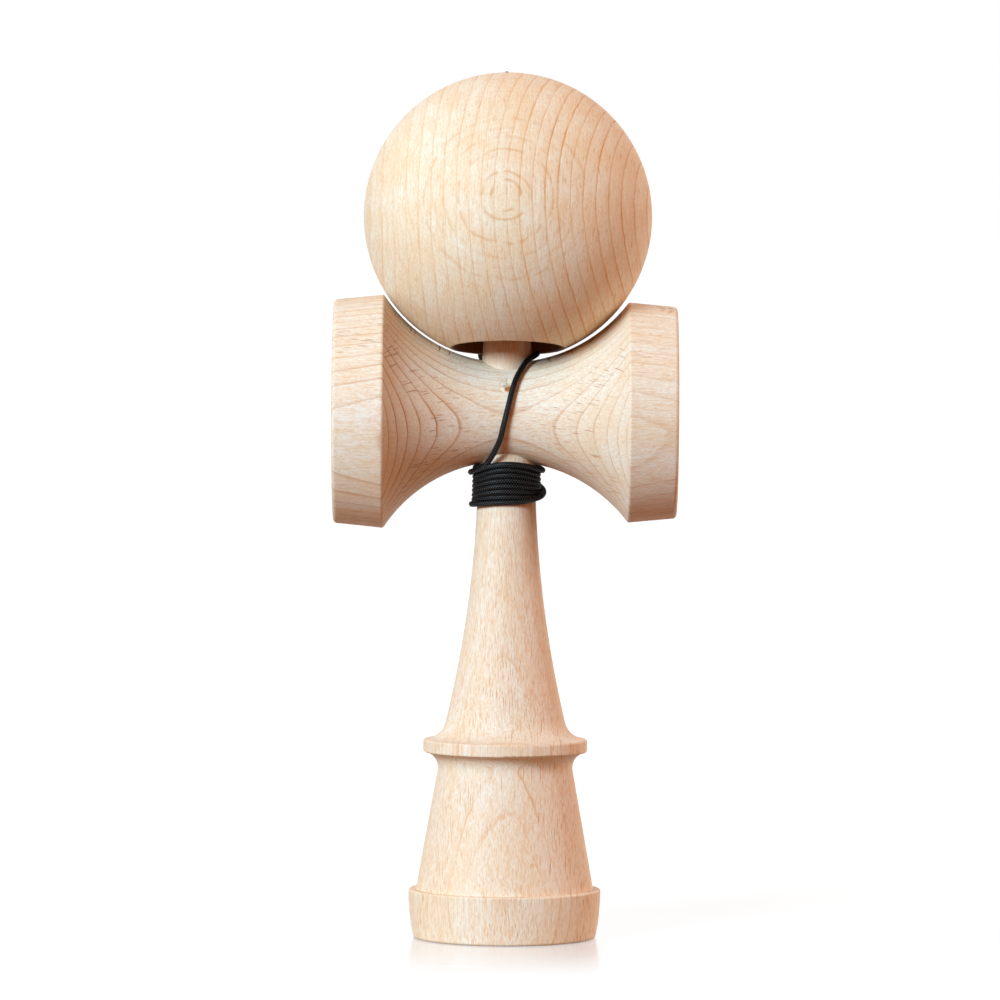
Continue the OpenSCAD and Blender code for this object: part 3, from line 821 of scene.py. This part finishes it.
# Torn beech, raw and unsanded, with no shine: pale ends round an orange core of painted shade.
torn_beech, tree = new_material("torn_beech")
seen_at = add_node(tree, "ShaderNodeTexCoord")
from_hole = add_node(
    tree, "ShaderNodeVectorMath",
    {0: seen_at.outputs["Object"], 1: on_waist(core_right, hole_at.z - core_down, 0)}, operation="SUBTRACT",
).outputs[0]
far = add_node(tree, "ShaderNodeVectorMath", {0: from_hole}, operation="LENGTH").outputs["Value"]
rim = add_node(
    tree, "ShaderNodeMapRange", {"Value": far, "From Min": core_edge * MM, "From Max": core_end * MM}
).outputs[0]
# Painted shade: slivers are orange near the core beside the string, and pale further out.
shade = add_node(
    tree, "ShaderNodeMix", {0: rim, 6: linear("#C4701F"), 7: linear("#F2E0C4")}, data_type="RGBA"
).outputs[2]
skin = add_node(tree, "ShaderNodeBsdfPrincipled", {"Base Color": shade, "Roughness": 0.7, "IOR": 1.5})
add_node(tree, "ShaderNodeOutputMaterial", {"Surface": skin.outputs[0]})
torn_mesh.materials.append(torn_beech)
print("made", torn_beech.name)

# %% [markdown]
# ## Black nylon
# The string is braided from nylon yarn that was dyed black. Each yarn glints on its crown, and between
# the yarns it is black. An even black would hide the braid, so the crowns are painted grey, a painted
# glint, and the gaps black, painted shade. Roughness and gleam follow the same height of the braid,
# which the tube already carries as a value at each of its points.

# %% Black nylon of the string
# Braided nylon yarn: rows of small grey glints on black, with the crowns painted grey and the gaps painted
# black.
braided_nylon, tree = new_material("braided_black_nylon")
top = add_node(tree, "ShaderNodeAttribute", attribute_name="yarn_top").outputs["Fac"]
crown = add_node(
    tree, "ShaderNodeMapRange", {"Value": top, "From Min": 0.7, "From Max": 0.97},
    interpolation_type="SMOOTHSTEP",
).outputs[0]
# Painted glint and painted shade: the yarn crowns are painted grey and the gaps between them black.
shade = add_node(
    tree, "ShaderNodeMix", {0: crown, 6: linear("#010101"), 7: linear("#25211F")}, data_type="RGBA"
).outputs[2]
roughness = add_node(tree, "ShaderNodeMapRange", {"Value": crown, "To Min": 0.6, "To Max": 0.34}).outputs[0]
gleam = add_node(tree, "ShaderNodeMapRange", {"Value": crown, "To Min": 0.02, "To Max": 1}).outputs[0]
skin = add_node(
    tree, "ShaderNodeBsdfPrincipled",
    {"Base Color": shade, "Roughness": roughness, "IOR": 1.53, "Specular IOR Level": gleam},
)
add_node(tree, "ShaderNodeOutputMaterial", {"Surface": skin.outputs[0]})
for piece in (string, anchor_knot, bead_knot):
    piece.data.materials.append(braided_nylon)
print("made", braided_nylon.name)

# %% [markdown]
# ## Floor
# The toy stands on a sheet of white acrylic, bright enough to run into the backdrop and smooth enough to
# mirror the rim of the foot. A plain white floor under these lamps would look grey. So what the eye sees
# glows a little, and still takes the toy's shadow. The light that it returns to the wood is lower and
# warm, a tint that was chosen for the toy's undersides.

# %% White floor
floor_half = 30
glow_from, glow_to = 0.08, 0.4
warm_from, warm_to = 0.025, 0.06
mirror_from, mirror_to = 0.02, 0.085
shadow_glow = 0.91
floor_mesh = bpy.data.meshes.new("white_floor")
floor_corners = [(x * floor_half, y * floor_half, 0) for x, y in ((-1, -1), (1, -1), (1, 1), (-1, 1))]
floor_mesh.from_pydata(floor_corners, [], [(0, 1, 2, 3)])
floor = bpy.data.objects.new("white_floor", floor_mesh)
bpy.context.scene.collection.objects.link(floor)
# Polished white acrylic: even white, a faint shadow, and a soft mirror close to the foot.
floor_acrylic, tree = new_material("polished_white_acrylic")
path = add_node(tree, "ShaderNodeLightPath")
seen_at = add_node(tree, "ShaderNodeTexCoord")
away = add_node(
    tree, "ShaderNodeVectorMath", {0: seen_at.outputs["Object"]}, operation="LENGTH"
).outputs["Value"]
lift = add_node(
    tree, "ShaderNodeMapRange",
    {"Value": away, "From Min": glow_from, "From Max": glow_to, "To Min": shadow_glow, "To Max": 1},
).outputs[0]
glow = add_node(tree, "ShaderNodeEmission", {"Color": (1, 1, 1, 1), "Strength": lift})
shadowed = add_node(tree, "ShaderNodeBsdfDiffuse", {"Color": linear("#595959")})
lit = add_node(tree, "ShaderNodeAddShader", {0: shadowed.outputs[0], 1: glow.outputs[0]})
close = add_node(
    tree, "ShaderNodeMapRange",
    {"Value": away, "From Min": warm_from, "From Max": warm_to, "To Min": 1, "To Max": 0},
).outputs[0]
returned = add_node(
    tree, "ShaderNodeMix", {0: close, 6: linear("#80481A"), 7: linear("#A88E75")}, data_type="RGBA"
).outputs[2]
bounce = add_node(tree, "ShaderNodeBsdfDiffuse", {"Color": returned})
seen = add_node(
    tree, "ShaderNodeMath", {0: path.outputs["Is Camera Ray"], 1: path.outputs["Is Glossy Ray"]},
    operation="MAXIMUM",
).outputs[0]
white = add_node(tree, "ShaderNodeMixShader", {0: seen, 1: bounce.outputs[0], 2: lit.outputs[0]})
gloss = add_node(tree, "ShaderNodeBsdfGlossy", {"Color": (1, 1, 1, 1), "Roughness": 0.2})
near = add_node(
    tree, "ShaderNodeMapRange",
    {"Value": away, "From Min": mirror_from, "From Max": mirror_to, "To Min": 1, "To Max": 0},
    interpolation_type="SMOOTHSTEP",
).outputs[0]
glance = add_node(tree, "ShaderNodeFresnel", {"IOR": 1.3}).outputs[0]
share = add_node(tree, "ShaderNodeMath", {0: glance, 1: near}, operation="MULTIPLY").outputs[0]
total = add_node(tree, "ShaderNodeMixShader", {0: share, 1: white.outputs[0], 2: gloss.outputs[0]})
add_node(tree, "ShaderNodeOutputMaterial", {"Surface": total.outputs[0]})
floor_mesh.materials.append(floor_acrylic)
print("made", floor_acrylic.name, "on a floor", 2 * floor_half, "m wide")

# %% [markdown]
# ## Backdrop
# Behind the toy is white paper, lit by itself. A wall with its own lamps would do, but the world around
# the scene can be that paper: the camera sees it plain white, and the toy gets white light from behind
# and weaker, warm light from the room in front.

# %% White backdrop
front_edge, back_edge = -0.4, 0.65
front_level = 0.44
world = bpy.data.worlds.new("white_studio")
world.use_nodes = True
bpy.context.scene.world = world
tree = world.node_tree
tree.nodes.clear()
path = add_node(tree, "ShaderNodeLightPath")
seen_at = add_node(tree, "ShaderNodeTexCoord")
split = add_node(tree, "ShaderNodeSeparateXYZ", {0: seen_at.outputs["Generated"]})
behind = add_node(
    tree, "ShaderNodeMapRange",
    {"Value": split.outputs["Y"], "From Min": front_edge, "From Max": back_edge},
    interpolation_type="SMOOTHSTEP",
).outputs[0]
level = add_node(
    tree, "ShaderNodeMapRange", {"Value": behind, "To Min": front_level, "To Max": 1}
).outputs[0]
tint = add_node(
    tree, "ShaderNodeMix", {0: behind, 6: linear("#FF9C5C"), 7: (1, 1, 1, 1)}, data_type="RGBA"
).outputs[2]
seen = add_node(
    tree, "ShaderNodeMath", {0: path.outputs["Is Camera Ray"], 1: path.outputs["Is Transmission Ray"]},
    operation="MAXIMUM",
).outputs[0]
level = add_node(tree, "ShaderNodeMix", {0: seen, 2: level, 3: 1.0}).outputs[0]
tint = add_node(tree, "ShaderNodeMix", {0: seen, 6: tint, 7: (1, 1, 1, 1)}, data_type="RGBA").outputs[2]
sky = add_node(tree, "ShaderNodeBackground", {"Color": tint, "Strength": level})
add_node(tree, "ShaderNodeOutputWorld", {"Surface": sky.outputs[0]})
print("made", world.name)

# %% [markdown]
# ## Lamps
# One softbox stands at the front left, above the toy, and models the ball. A larger card at the right
# lifts the shaded side. A sun lamp would draw hard shadows, and real studio light is a lit square, so
# both are area lamps.

# %% Softboxes
toy_middle = (0, 0, 0.1)


def softbox(name, place, aim, size, watts, colour):
    """A square studio softbox at a place, turned to its aim."""
    light = bpy.data.lights.new(name, "AREA")
    light.size = size
    light.energy = watts
    light.color = linear(colour)[:3]
    lamp = bpy.data.objects.new(name, light)
    bpy.context.scene.collection.objects.link(lamp)
    lamp.location = place
    lamp.rotation_euler = (Vector(aim) - Vector(place)).to_track_quat("-Z", "Y").to_euler()
    print(name, "gives", watts, "W")


softbox("key_softbox", (-1, -1.42, 0.77), toy_middle, size=0.6, watts=56.5, colour="#C6E8FF")
softbox("fill_card", (1.7, 0.25, 0.45), toy_middle, size=1.2, watts=16, colour="#FFF4EA")
